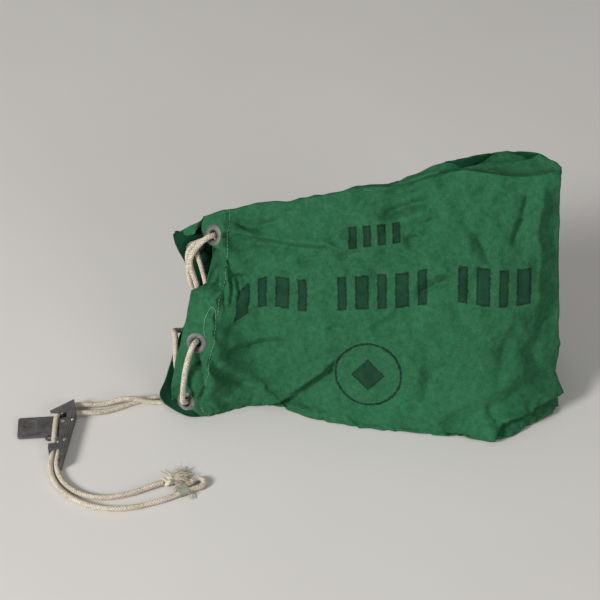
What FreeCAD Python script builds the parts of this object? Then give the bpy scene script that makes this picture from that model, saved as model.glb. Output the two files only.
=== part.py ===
"""Drawstring mail sack, lying on its long side, with its draw cord and sliding cord fastener.

Millimetres, +Z up. The origin is on the table, under the middle of the sack's own box.
The mouth is at -X, the closed end at +X, and the printed front leans back from -Y.
"""
import FreeCAD, Part
import math
import os
from FreeCAD import Vector

# ---- driving dimensions -------------------------------------------------------------------
CLOTH = 1.2                 # thickness of the cotton duck
CORD = 6.2                  # diameter of the braided cotton cord
CORD_LEVEL = CORD / 2 + 0.1  # height of a cord's centre where it lies on the table

EYELET_HOLE = 11.1          # a number 3 grommet: hole, barrel and flange diameters
EYELET_BARREL = 12.4
EYELET_FLANGE = 23.8
WASHER_FLANGE = 21.6
EYELET_CROWN = 1.9          # how far the domed flange stands off the cloth
WASHER_CROWN = 1.1

STEEL = 1.2                 # sheet thickness of the cord fastener
FASTENER_AT = Vector(-338, -72, 0)
FASTENER_TURN = 5           # degrees about +Z
CHANNEL_HEIGHT = 13
LABEL_LENGTH = 49.3
LABEL_WIDTH = 31
LABEL_HEIGHT = 3.1
LEVER_LEVEL = 4.5           # underside of the lever
LEVER_THICKNESS = 1.0
LEVER_BOSS_RADIUS = 2.8
LEVER_PIVOT = Vector(3, -1, 0)
PIN_RADIUS = 1.6
PIN_CLEARANCE = 0.05
SPRING_RADIUS = 2.4
SPRING_WIRE = 0.7
SPRING_PITCH = 1.1
SPRING_HEIGHT = 2.75
SEAL_EYE_RADIUS = 2.9
SEAL_EYE_AT = Vector(-12.2, -17.2, 0)

# ---- the sack: rings of points from the closed end to the mouth ---------------------------
# A plain ring has four corners: front foot, front ridge, rear ridge and rear foot.
# Between the corners each side bulges outwards by the length given for it.
PLAIN_RINGS = [
    # front foot,      front ridge,      rear ridge,       rear foot,      front, roof, back
    ((229, -42, 0), (214, 45, 276.5), (216, 52, 276), (227, 80, 0), 5, 0, 2),
    ((194, -71, 0), (191, 38, 277.5), (195, 82, 277.5), (192, 90, 0), 4, 1, 4),
    ((158, -94, 0), (160, 37, 277), (158, 83, 278), (158, 93.5, 0), 4, 0, 4),
    ((100, -88, 0), (97, 46, 279), (101, 70, 277), (100, 91, 0), 6, 2, 5),
    ((46, -81, 0), (42, 48, 259), (42, 66, 251), (44, 90, 0), 9, 3, 6),
    ((-8, -72, 0), (-12, 49, 247), (-12, 68, 236), (-10, 86, 0), 12, 3, 8),
    ((-60, -56, 0), (-67, 51, 232), (-67, 70, 218), (-65, 80, 0), 14, 3, 9),
    ((-108, -35, 0), (-111, 55, 226), (-111, 76, 208), (-110, 66, 0), 16, 3, 8),
]
# The mouth is gathered, so its three rings are given point by point: the row of hem
# stitching, the row of eyelets and the free edge.
STITCH_RING = [
    (-168, -51, 0), (-181, -51, 13), (-172, -50, 52), (-164, -34, 90), (-157, -2, 130),
    (-148, 32, 192), (-146, 57, 213), (-158, 70, 200), (-172, 80, 180), (-166, 80, 150),
    (-150, 84, 122), (-145, 78, 96), (-158, 54, 76), (-170, 40, 58), (-184, 10, 5),
    (-178, -14, 2.5), (-172, -38, 1),
]
EYELET_RING = [
    (-190, -54, 1), (-197, -45, 16), (-190, -44, 52), (-183, -25, 88), (-170, 8, 132),
    (-163, 41, 190), (-160, 60, 206), (-177, 72, 192), (-193, 80, 170), (-187, 75, 148),
    (-168, 76, 122), (-161, 68, 98), (-176, 42, 80), (-188, 29, 62), (-205, -2, 12),
    (-201, -25, 9), (-198, -42, 7.5),
]
FREE_EDGE_RING = [
    (-206, -49, 3), (-214, -38, 20), (-210, -32, 54), (-201, -16, 90), (-187, 12, 138),
    (-177, 54, 186), (-175, 66, 197), (-195, 76, 179), (-211, 80, 163), (-207, 72, 146),
    (-186, 66, 122), (-179, 58, 100), (-193, 32, 82), (-206, 18, 62), (-223, -8, 17),
    (-229, -26, 9.5), (-221, -41, 8.5),
]
FRONT, ROOF, BACK, BASE = 6, 2, 6, 3       # segments on each side of a ring
STITCHED, EYELETS_AT, FREE = 8, 9, 10      # numbers of the mouth's three rings

# Where the eyelets sit in the eyelet ring, and which panel each one goes through.
EYELET_SPOTS = [(5, "front_panel"), (3, "front_panel"), (1, "front_panel"),
                (9, "back_panel"), (11, "back_panel"), (13, "back_panel"), (15, "base_panel")]
EYELET_AXES = [(-0.66, -0.60, 0.45), (-0.25, -0.87, 0.43), (-0.50, -0.76, 0.42),
               (-0.20, 0.97, 0.10), (0.20, 0.90, -0.38), (-0.30, 0.62, -0.72),
               (0.0, 0.0, -1.0)]

# ---- routes of the cord -------------------------------------------------------------------
# One cord is laced through the seven eyelets. Both of its ends leave the mouth through
# eyelet 7, under the hem, and run to the fastener. The route is cut where it passes from
# the sack to the free leads, and at the fastener's edge.
LACE_FRONT = [
    (-203.9, -25, 7), (-203.9, -26, 15), (-202, -33, 20), (-194, -34.5, 20),
    (-188.5, -36, 15.5), (-191, -40.5, 13.5), (-197, -45, 16), (-202.5, -52, 21), (-202, -53, 34), (-199.5, -51, 53),
    (-196, -46, 69), (-190.5, -37, 83), (-186, -30, 91), (-183.5, -24, 89), (-181, -14, 86),
    (-180, -5, 93), (-181, 4, 105), (-181.5, 13, 117), (-182, 21, 129), (-187, 27, 144),
    (-190.5, 29, 158), (-188.5, 31, 170), (-179, 34, 183), (-170, 36, 190.5), (-163, 41, 190),
    (-157, 47, 185),
]
LACE_BACK = [
    (-157, 47, 185), (-152, 52, 180.8), (-155, 60, 173), (-167, 64, 168), (-182, 60, 166),
    (-190, 57, 162),
    (-195, 55, 152), (-194.5, 52, 138), (-193, 46, 120), (-188, 43, 107), (-177, 48, 101),
    (-166, 57, 101), (-161, 68, 98), (-158.5, 79, 94), (-157, 89, 101), (-163, 94, 116),
    (-175, 94, 132), (-185, 90, 144), (-188, 82, 149), (-187, 74, 148), (-184, 63, 144),
    (-179, 52, 135), (-174, 40, 120), (-172, 33, 104), (-175, 27, 90), (-182, 23, 78),
    (-186, 25, 68), (-188.5, 30, 61), (-192, 37, 54), (-200, 39, 52), (-209, 33, 56),
    (-214, 24, 64), (-210, 13, 69), (-209.5, 3, 58), (-210, -8, 45), (-207, -17, 34),
    (-202, -21, 26), (-198.1, -25, 16), (-198.1, -25, 7),
]
LEAD_A = [
    (-206, -22, CORD_LEVEL), (-222, -21, CORD_LEVEL), (-240, -25, CORD_LEVEL),
    (-262, -34, CORD_LEVEL), (-284, -46, CORD_LEVEL), (-302, -51, 4.5), (-318, -51, 4.5),
]
LEAD_B = [
    (-206, -33, CORD_LEVEL), (-222, -32, CORD_LEVEL), (-240, -33, CORD_LEVEL),
    (-256, -34, 11), (-273, -35, 11), (-289, -36, 4.5), (-303, -38, 4.5),
    (-318, -38, 4.5),
]
TAIL_A = [
    (-318, -51, 4.5), (-326, -51, 4.5), (-329.2, -60, 4.5), (-328.5, -73.2, 4.5),
    (-331.2, -86.5, 4.5), (-335, -98.9, 4.5), (-335, -110.9, 4.5), (-336.2, -125, 4.4),
    (-335, -140, CORD_LEVEL), (-326, -159, CORD_LEVEL), (-309, -174, CORD_LEVEL),
    (-289, -181.5, CORD_LEVEL), (-268, -180.5, CORD_LEVEL), (-246, -173.5, CORD_LEVEL),
    (-232, -167.2, 4.8), (-223, -163.4, 5.6), (-216, -160.5, 5.6),
]
TAIL_B = [
    (-318, -38, 4.5), (-327, -38, 4.5), (-337.6, -43.6, 6.6), (-343, -54.6, 8.1),
    (-343.5, -66.5, 9.3), (-343.1, -78.5, 9.6), (-342.5, -90.5, 9.6), (-342.1, -102, 7.2),
    (-341.5, -113.4, 4.7), (-342.8, -126, 4.3), (-341.5, -144, CORD_LEVEL),
    (-333, -163, CORD_LEVEL), (-316, -181, CORD_LEVEL), (-295, -192.5, CORD_LEVEL),
    (-272, -198, CORD_LEVEL), (-248, -196, CORD_LEVEL), (-225, -188.5, CORD_LEVEL),
    (-213, -184, 3.6), (-202.88, -178.99, 4.1), (-183.08, -168.3, 4.1),
    (-177.3, -167.5, 4.1), (-171.5, -163, 4.1), (-171, -156.5, 4.1), (-177, -152.5, 4.1),
    (-183.3, -155.8, 4.1), (-186.12, -162.67, 4.1), (-203.28, -171.93, 4.1),
]
KNOT_A_FROM, KNOT_A_TO = Vector(-215.9, -160.46, 5.6), Vector(-197.4, -152.8, 5.6)
KNOT_A_RADIUS = 5.4
WHIPPING_FROM, WHIPPING_TO = Vector(-200, -173.8, 4.1), Vector(-189, -167.86, 4.1)
WHIPPING_WALL = 0.8

os.makedirs("parts", exist_ok=True)


def save(shape, node):
    """Write one node and print its size, so that a wrong solid shows at once."""
    box = shape.BoundBox
    print(f"{node:20s} solids {len(shape.Solids)} valid {shape.isValid()} volume {shape.Volume:9.1f}"
          f"  x {box.XMin:.1f} {box.XMax:.1f}  y {box.YMin:.1f} {box.YMax:.1f}"
          f"  z {box.ZMin:.1f} {box.ZMax:.1f}")
    shape.exportStep(f"parts/{node}.step")


# ---- cloth --------------------------------------------------------------------------------
def side(start, end, segments, bulge, outward):
    """Points from start up to, but not including, end, on a shallow arch."""
    points = []
    for step in range(segments):
        share = step / segments
        points.append(start + (end - start) * share + outward * (4 * bulge * share * (1 - share)))
    return points


def plain_ring(front_foot, front_ridge, rear_ridge, rear_foot, front, roof, back):
    corners = [Vector(*corner) for corner in (front_foot, front_ridge, rear_ridge, rear_foot)]
    return (side(corners[0], corners[1], FRONT, front, Vector(0, -0.9, 0.4))
            + side(corners[1], corners[2], ROOF, roof, Vector(0, 0, 1))
            + side(corners[2], corners[3], BACK, back, Vector(0, 1, 0))
            + side(corners[3], corners[0], BASE, 0, Vector(0, 0, 0)))


def offset_rings(rings, distance):
    """The same rings moved inwards along the surface's own normals."""
    moved = []
    last = len(rings) - 1
    for number, ring in enumerate(rings):
        towards_end, towards_mouth = rings[max(number - 1, 0)], rings[min(number + 1, last)]
        new_ring = []
        for spot, point in enumerate(ring):
            around = ring[(spot + 1) % len(ring)] - ring[spot - 1]
            lengthwise = towards_mouth[spot] - towards_end[spot]
            normal = around.cross(lengthwise).normalize()
            new_ring.append(point - normal * distance)
        moved.append(new_ring)
    return moved


def triangle(a, b, c):
    return Part.Face(Part.makePolygon([a, b, c, a]))


def quad(a, b, c, d):
    """Two triangles on the diagonal from a to c."""
    return [triangle(a, b, c), triangle(a, c, d)]


def closed(faces):
    shell = Part.makeShell(faces)
    shell.sewShape()
    solid = Part.makeSolid(shell)
    if solid.Volume < 0:
        solid.reverse()
    return solid


def cloth(outer, inner, rings, spots):
    """A closed sheet between two surfaces, over a range of rings and of spots round them."""
    faces = []
    for number in rings[:-1]:
        for spot, after in zip(spots[:-1], spots[1:]):
            for surface in (outer, inner):
                near, far = surface[number], surface[number + 1]
                faces += quad(near[spot], near[after], far[after], far[spot])
    for number in (rings[0], rings[-1]):
        for spot, after in zip(spots[:-1], spots[1:]):
            faces += quad(outer[number][spot], outer[number][after],
                          inner[number][after], inner[number][spot])
    if spots[0] != spots[-1]:
        for spot in (spots[0], spots[-1]):
            for number in rings[:-1]:
                faces += quad(outer[number][spot], outer[number + 1][spot],
                              inner[number + 1][spot], inner[number][spot])
    return closed(faces)


def end_cloth(outer, inner, middle):
    """The closed end: a fan of triangles round a middle point, bulging a little."""
    faces = []
    count = len(outer)
    inner_middle = middle - Vector(CLOTH, 0, 0)
    for spot in range(count):
        after = (spot + 1) % count
        faces.append(triangle(outer[spot], outer[after], middle))
        faces.append(triangle(inner[spot], inner[after], inner_middle))
        faces += quad(outer[spot], outer[after], inner[after], inner[spot])
    return closed(faces)


def revolve(profile, centre, axis):
    """Turn a closed (radius, height) outline about an axis through centre."""
    points = [Vector(radius, 0, height) for radius, height in profile]
    face = Part.Face(Part.makePolygon(points + points[:1]))
    solid = face.revolve(Vector(0, 0, 0), Vector(0, 0, 1), 360)
    turn = FreeCAD.Rotation(Vector(0, 0, 1), axis)
    solid.Placement = FreeCAD.Placement(centre, turn)
    return solid


def domed(inner_radius, outer_radius, base, crown, steps=6):
    """Outline of a ring flange whose top is half an ellipse."""
    middle, half = (inner_radius + outer_radius) / 2, (outer_radius - inner_radius) / 2
    outline = []
    for step in range(steps + 1):
        angle = math.pi * step / steps
        outline.append((middle + half * math.cos(angle), base + crown * math.sin(angle)))
    return outline


def eyelet(centre, axis):
    """Crown flange and barrel in one piece. The cloth lies from 0 down to two thicknesses."""
    depth = -2 * CLOTH - WASHER_CROWN - 0.2
    outline = domed(EYELET_HOLE / 2, EYELET_FLANGE / 2, 0.2, EYELET_CROWN - 0.2)
    outline += [(EYELET_HOLE / 2, depth), (EYELET_BARREL / 2, depth), (EYELET_BARREL / 2, 0.2)]
    return revolve(outline, centre, axis)


def washer(centre, axis):
    level = -2 * CLOTH
    outline = domed(EYELET_BARREL / 2 + 0.1, WASHER_FLANGE / 2, 0, WASHER_CROWN)
    return revolve([(radius, level - height) for radius, height in outline], centre, axis)


def sack():
    outer = [plain_ring(*ring) for ring in PLAIN_RINGS]
    outer += [[Vector(*point) for point in ring]
              for ring in (STITCH_RING, EYELET_RING, FREE_EDGE_RING)]
    inner = offset_rings(outer, CLOTH)
    hem_inner = offset_rings(outer, 2 * CLOTH)
    count = len(outer[0])
    whole = list(range(len(outer)))
    starts = {"front_panel": (0, FRONT), "top_panel": (FRONT, ROOF),
              "back_panel": (FRONT + ROOF, BACK), "base_panel": (FRONT + ROOF + BACK, BASE)}
    nodes = {}
    for node, (start, length) in starts.items():
        spots = [spot % count for spot in range(start, start + length + 1)]
        nodes[node] = cloth(outer, inner, whole, spots)
    nodes["end_panel"] = end_cloth(outer[0], inner[0], Vector(229, 22, 92))
    nodes["mouth_hem"] = cloth(inner, hem_inner, [STITCHED, EYELETS_AT, FREE],
                               list(range(count)) + [0])
    for number, ((spot, panel), axis) in enumerate(zip(EYELET_SPOTS, EYELET_AXES), start=1):
        centre, axis = outer[EYELETS_AT][spot], Vector(*axis).normalize()
        hole = Part.makeCylinder(EYELET_BARREL / 2, 16, centre - axis * 8, axis)
        nodes[panel] = nodes[panel].cut(hole)
        nodes["mouth_hem"] = nodes["mouth_hem"].cut(hole)
        nodes[f"eyelet_{number}"] = eyelet(centre, axis)
        nodes[f"eyelet_washer_{number}"] = washer(centre, axis)
    return nodes


# ---- cord ---------------------------------------------------------------------------------
def cord(route, node):
    """A round cord along straight runs joined by tangent arcs."""
    points = [Vector(*point) for point in route]
    edges, radii, here = [], [], points[0]
    for before, corner, after in zip(points, points[1:], points[2:]):
        back, ahead = (before - corner), (after - corner)
        shorter = min(back.Length, ahead.Length)
        turn = math.pi - back.getAngle(ahead)
        radius = 0.45 * shorter / math.tan(turn / 2)
        radii.append(radius)
        cut = 0.45 * shorter
        start = corner + back.normalize() * cut
        end = corner + ahead.normalize() * cut
        bisector = (back + ahead).normalize()
        centre_distance = math.hypot(cut, radius)
        middle = corner + bisector * (centre_distance - radius)
        edges.append(Part.LineSegment(here, start).toShape())
        edges.append(Part.Arc(start, middle, end).toShape())
        here = end
    edges.append(Part.LineSegment(here, points[-1]).toShape())
    path = Part.Wire(edges)
    section = Part.Wire(Part.makeCircle(CORD / 2, points[0], points[1] - points[0]))
    solid = path.makePipeShell([section], True, False)
    area = math.pi * CORD ** 2 / 4
    print(f"{node}: length {path.Length:.0f} volume over section {solid.Volume / area:.0f}"
          f" radii {' '.join(f'{radius:.0f}' for radius in radii)}")
    return solid


def knot(start, end, radius):
    """The whipped end of a tail, as a plain barrel."""
    length = (end - start).Length
    outline = [(0, 0), (CORD / 2, 0), (radius, 0.3 * length), (radius, 0.7 * length),
               (CORD / 2, length), (0, length)]
    return revolve(outline, start, end - start)


def whipping(start, end):
    """Thread wound round two strands: a sleeve with a rounded oblong section."""
    length = (end - start).Length
    spread = CORD / 2 + 0.1                    # half the spacing of the two strands

    def oblong(radius):
        left = Part.makeCylinder(radius, length, Vector(-spread, 0, 0))
        right = Part.makeCylinder(radius, length, Vector(spread, 0, 0))
        middle = Part.makeBox(2 * spread, 2 * radius, length, Vector(-spread, -radius, 0))
        return left.fuse(right).fuse(middle).removeSplitter()

    sleeve = oblong(spread + WHIPPING_WALL).cut(oblong(spread))
    forward = (end - start).normalize()
    across = Vector(0, 0, 1).cross(forward)
    turn = FreeCAD.Rotation(across, forward.cross(across), forward, "ZXY")
    sleeve.Placement = FreeCAD.Placement(start, turn)
    return sleeve


def free_cords():
    return {"draw_cord_front": cord(LACE_FRONT, "draw_cord_front"),
            "draw_cord_back": cord(LACE_BACK, "draw_cord_back"),
            "lead_cord_a": cord(LEAD_A, "lead_cord_a"),
            "lead_cord_b": cord(LEAD_B, "lead_cord_b"),
            "tail_cord_a": cord(TAIL_A, "tail_cord_a"),
            "tail_cord_b": cord(TAIL_B, "tail_cord_b"),
            "tail_knot_a": knot(KNOT_A_FROM, KNOT_A_TO, KNOT_A_RADIUS),
            "tail_whipping_b": whipping(WHIPPING_FROM, WHIPPING_TO)}


# ---- cord fastener, in its own frame: the channel runs down -Y, the label holder lies at -X ---
EAR = [(-12, 17), (15, 33.8), (17.4, 15.5)]
CHANNEL_TOE = (2.2, -66.4)
WINDOW = [(-0.5, 3), (7, 5), (7, 13), (-11, 13)]
STRAP_FROM, STRAP_TO, STRAP_REACH = -44.5, -35.5, 12.2
LABEL_LEFT, LABEL_FRONT = -48.5, -14.5
LABEL_WALL = 0.7
LEVER_OUTLINE = [
    (4, 1.6), (-8, 3.2), (-14.9, 0.8), (-17.6, -8), (-17.8, -16), (-16, -21.6), (-12, -24),
    (-8.2, -22.6), (-7, -17), (-7.4, -11), (-4.5, -5.4), (4, -3.6),
]
RIVETS = [((13.7, 0.8), 0.5, 1.6), ((5.6, -30.5), 1.4, 2.2)]   # place, shank radius, head radius


def plate(outline, bottom, thickness):
    points = [Vector(x, y, bottom) for x, y in outline]
    return Part.Face(Part.makePolygon(points + points[:1])).extrude(Vector(0, 0, thickness))


def post(place, radius, bottom, top):
    return Part.makeCylinder(radius, top - bottom, Vector(place[0], place[1], bottom))


def dome(place, radius, level, height):
    """A rivet's set head: a cap cut from a ball."""
    ball_radius = (radius ** 2 + height ** 2) / (2 * height)
    ball = Part.makeSphere(ball_radius, Vector(place[0], place[1], level + height - ball_radius))
    return ball.common(post(place, radius + 1, level, level + height + 1))


def channel():
    top_level = CHANNEL_HEIGHT - STEEL
    base = plate([(-14, -12), (-14, 15), (2, 24), (14, 31.5), EAR[2], CHANNEL_TOE, (-1, -35),
                  (-1, -12)], 0, STEEL)
    top = plate(EAR + [CHANNEL_TOE, (-1, -35)] + WINDOW, top_level, STEEL)
    inset = Vector(-0.983, 0.18, 0) * STEEL
    spine = plate([EAR[2], CHANNEL_TOE, (CHANNEL_TOE[0] + inset.x, CHANNEL_TOE[1] + inset.y),
                   (EAR[2][0] + inset.x, EAR[2][1] + inset.y)], 0, CHANNEL_HEIGHT)
    width = STRAP_TO - STRAP_FROM
    strap = Part.makeBox(STRAP_REACH, width, CHANNEL_HEIGHT, Vector(-STRAP_REACH, STRAP_FROM, 0))
    strap = strap.cut(Part.makeBox(STRAP_REACH, width, CHANNEL_HEIGHT - 2 * STEEL,
                                   Vector(STEEL - STRAP_REACH, STRAP_FROM, STEEL)))
    body = base.fuse([top, spine, strap])
    for near, far in (((12.6, 11), (4.0, -47)), ((8.6, 1.5), (1.9, -45))):
        bead = plate([(near[0] - 0.6, near[1]), (near[0] + 0.6, near[1]),
                      (far[0] + 0.6, far[1]), (far[0] - 0.6, far[1])], CHANNEL_HEIGHT, 0.5)
        body = body.fuse(bead)
    body = body.cut(post(LEVER_PIVOT, PIN_RADIUS, 0, CHANNEL_HEIGHT + 1))
    for place, shank, head in RIVETS:
        body = body.cut(post(place, shank, 0, CHANNEL_HEIGHT + 1))
        body = body.cut(post(place, head + 0.1, CHANNEL_HEIGHT, CHANNEL_HEIGHT + 1))
    return body.removeSplitter()


def label_holder():
    """A flat sleeve of thin sheet, open at its left end, with a raised panel and a dimple."""
    back = LABEL_FRONT + LABEL_WIDTH
    sleeve = Part.makeBox(LABEL_LENGTH, LABEL_WIDTH, LABEL_HEIGHT,
                          Vector(LABEL_LEFT, LABEL_FRONT, STEEL))
    slot = Part.makeBox(LABEL_LENGTH, LABEL_WIDTH - 2 * LABEL_WALL, LABEL_HEIGHT - 2 * LABEL_WALL,
                        Vector(LABEL_LEFT - LABEL_WALL, LABEL_FRONT + LABEL_WALL,
                               STEEL + LABEL_WALL))
    panel = plate([(-45, -10), (-45, 12), (-26, 12), (-26, -10)], STEEL + LABEL_HEIGHT, 0.35)
    dimple = Part.makeCone(1.0, 2.4, 0.6, Vector(-38.9, 2.4, STEEL + LABEL_HEIGHT - 0.25))
    corners = [edge for edge in sleeve.Edges
               if abs(edge.tangentAt(edge.FirstParameter).z) > 0.9
               and edge.CenterOfMass.x < LABEL_LEFT + 1]
    sleeve = sleeve.makeFillet(3, corners)
    return sleeve.cut(slot).fuse(panel).cut(dimple)


def cord_lever():
    """A flat lever with a seal eye, on a boss that turns about the pivot pin."""
    curve = Part.BSplineCurve()
    curve.interpolate([Vector(x, y, LEVER_LEVEL) for x, y in LEVER_OUTLINE], PeriodicFlag=True)
    blade = Part.Face(Part.Wire(curve.toShape())).extrude(Vector(0, 0, LEVER_THICKNESS))
    boss_top = LEVER_LEVEL + LEVER_THICKNESS + 2
    lever = blade.fuse(post(LEVER_PIVOT, LEVER_BOSS_RADIUS, LEVER_LEVEL, boss_top))
    above = LEVER_LEVEL + LEVER_THICKNESS + 0.1
    eye = post(SEAL_EYE_AT, SEAL_EYE_RADIUS, LEVER_LEVEL - 1, above)
    reach, half = 1.3 * SEAL_EYE_RADIUS, 0.643 * SEAL_EYE_RADIUS
    lean = Vector(0.6, 0.8, 0)
    across = Vector(-0.8, 0.6, 0)
    waist = SEAL_EYE_AT + lean * (0.766 * SEAL_EYE_RADIUS)
    point = plate([(waist + across * half)[0:2], (waist - across * half)[0:2],
                   (SEAL_EYE_AT + lean * reach)[0:2]], LEVER_LEVEL - 1, LEVER_THICKNESS + 2)
    bore = post(LEVER_PIVOT, PIN_RADIUS + PIN_CLEARANCE, LEVER_LEVEL - 1, boss_top + 1)
    return lever.cut(eye).cut(point).cut(bore).removeSplitter()


def lever_spring():
    """The coil on the pivot pin that pushes the lever back against the cord."""
    bottom = LEVER_LEVEL + LEVER_THICKNESS + 2.5
    helix = Part.makeHelix(SPRING_PITCH, SPRING_HEIGHT, SPRING_RADIUS)
    start = helix.Edges[0].firstVertex().Point
    section = Part.Wire(Part.makeCircle(SPRING_WIRE / 2, start, Vector(0, 1, 0)))
    coil = Part.Wire(helix.Edges).makePipeShell([section], True, True)
    coil.translate(Vector(LEVER_PIVOT.x, LEVER_PIVOT.y, bottom))
    return coil


def rivets():
    """Two set rivets: a short one in the spine and a long one through the channel."""
    solids = []
    for place, shank, head in RIVETS:
        whole = post(place, shank, 0, CHANNEL_HEIGHT).fuse(dome(place, head, CHANNEL_HEIGHT, 0.9))
        solids.append(whole.removeSplitter())
    return Part.makeCompound(solids)


def fastener():
    pin = post(LEVER_PIVOT, PIN_RADIUS, 0, CHANNEL_HEIGHT)
    pin = pin.fuse(dome(LEVER_PIVOT, PIN_RADIUS + 0.7, CHANNEL_HEIGHT, 0.7)).removeSplitter()
    nodes = {"fastener_channel": channel(), "label_holder": label_holder(),
             "cord_lever": cord_lever(), "lever_pin": pin, "lever_spring": lever_spring(),
             "channel_rivets": rivets()}
    placement = FreeCAD.Placement(FASTENER_AT, FreeCAD.Rotation(Vector(0, 0, 1), FASTENER_TURN))
    for shape in nodes.values():
        shape.Placement = placement.multiply(shape.Placement)
    for name, place in (("lever pivot", LEVER_PIVOT), ("seal eye", SEAL_EYE_AT),
                        ("label slot", Vector(LABEL_LEFT, LABEL_FRONT + LABEL_WIDTH / 2, 0))):
        print(name, placement.multVec(place))
    return nodes


if __name__ == "__main__":
    for nodes in (sack(), free_cords(), fastener()):
        for node, shape in nodes.items():
            save(shape, node)
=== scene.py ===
"""Looks of the drawstring mail sack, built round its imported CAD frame. Metres, +Z up."""
import math

import bmesh
import bpy
import numpy as np
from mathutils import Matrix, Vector, noise


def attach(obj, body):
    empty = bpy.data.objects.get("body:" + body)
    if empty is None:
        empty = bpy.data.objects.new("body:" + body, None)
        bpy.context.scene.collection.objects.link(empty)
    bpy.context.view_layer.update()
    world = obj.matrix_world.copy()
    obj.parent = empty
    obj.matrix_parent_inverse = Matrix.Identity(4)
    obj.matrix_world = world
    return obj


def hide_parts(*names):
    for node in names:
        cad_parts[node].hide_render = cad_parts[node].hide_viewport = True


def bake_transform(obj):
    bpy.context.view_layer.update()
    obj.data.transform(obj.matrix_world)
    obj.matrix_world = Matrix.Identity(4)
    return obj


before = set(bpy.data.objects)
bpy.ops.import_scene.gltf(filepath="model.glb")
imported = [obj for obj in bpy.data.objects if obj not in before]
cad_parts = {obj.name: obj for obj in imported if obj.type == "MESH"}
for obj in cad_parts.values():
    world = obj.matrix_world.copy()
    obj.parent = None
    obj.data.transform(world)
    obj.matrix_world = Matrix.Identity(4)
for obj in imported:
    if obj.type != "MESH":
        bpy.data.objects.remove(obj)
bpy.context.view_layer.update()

MM = 0.001
TAU = 2 * math.pi
norm = np.linalg.norm
scene = bpy.context.scene


# ---- helpers ----
def added(name, data):
    """A new object of the scene."""
    obj = bpy.data.objects.new(name, data)
    scene.collection.objects.link(obj)
    return obj


def piece(name, vertices, faces, material=None):
    """A new smooth-shaded mesh object, from points in metres."""
    mesh = bpy.data.meshes.new(name)
    mesh.from_pydata([tuple(v) for v in vertices], [], [tuple(map(int, f)) for f in faces])
    mesh.validate()
    mesh.shade_smooth()
    if material is not None:
        mesh.materials.append(material)
    return added(name, mesh)


class Shader:
    """A material being built: add() makes a node, and its inputs take values or sockets."""

    def __init__(self, name):
        self.material = bpy.data.materials.new(name)
        self.material.use_nodes = True
        self.tree = self.material.node_tree
        self.principled = self.tree.nodes["Principled BSDF"]
        self.where = self.add("TexCoord").outputs["Object"]

    def add(self, kind, inputs=None, **settings):
        node = self.tree.nodes.new("ShaderNode" + kind)
        for key, value in settings.items():
            setattr(node, key, value)
        for key, value in (inputs or {}).items():
            self.set(node.inputs[key], value)
        return node

    def set(self, socket, value):
        if isinstance(value, bpy.types.NodeSocket):
            self.tree.links.new(value, socket)
        else:
            socket.default_value = value

    def math(self, operation, *values):
        return self.add("Math", dict(enumerate(values)), operation=operation).outputs[0]

    def minus(self, a, b):
        return self.math("SUBTRACT", a, b)

    def times(self, a, b):
        return self.math("MULTIPLY", a, b)

    def outside(self, value, middle, half):
        """How far a value is outside a span; negative inside."""
        return self.minus(self.math("ABSOLUTE", self.minus(value, middle)), half)

    def mix(self, share, a, b):
        node = self.add("Mix", data_type="RGBA")
        for socket, value in ((node.inputs[0], share), (node.inputs[6], a), (node.inputs[7], b)):
            self.set(socket, value)
        return node.outputs[2]

    def noise(self, scale, detail=3.0, roughness=0.5, where=None):
        return self.add("TexNoise", {"Vector": where or self.where, "Scale": scale,
                                     "Detail": detail, "Roughness": roughness}).outputs[0]

    def band(self, value, low, high, out_low=0.0, out_high=1.0):
        return self.add("MapRange", {0: value, 1: low, 2: high, 3: out_low,
                                     4: out_high}).outputs[0]

    def bump(self, height, strength, distance):
        return self.add("Bump", {"Height": height, "Strength": strength,
                                 "Distance": distance}).outputs[0]

    def surface(self, **values):
        for key, value in values.items():
            self.set(self.principled.inputs[key.replace("_", " ")], value)
        return self.material


def srgb(red, green, blue):
    """Linear colour of an sRGB one given from 0 to 255."""
    return tuple(((v / 255 + 0.055) / 1.055) ** 2.4 if v > 10 else v / 255 / 12.92
                 for v in (red, green, blue)) + (1.0,)


# ---- camera ----
camera_data = bpy.data.cameras.new("camera")
camera_data.lens = 94.8
camera_data.sensor_width = 36
camera_data.clip_end = 20
camera = added("camera", camera_data)
camera.location = (-0.067, -1.352, 1.2645)
camera.rotation_euler = (math.radians(50), 0, 0)
scene.camera = camera
scene.view_settings.view_transform = "Standard"


# ---- materials ----
def box_distance(s, u, v, middle, half):
    """How far (u, v) is outside an upright rectangle; negative inside."""
    return s.math("MAXIMUM", s.outside(u, middle[0], half[0]), s.outside(v, middle[1], half[1]))


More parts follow.
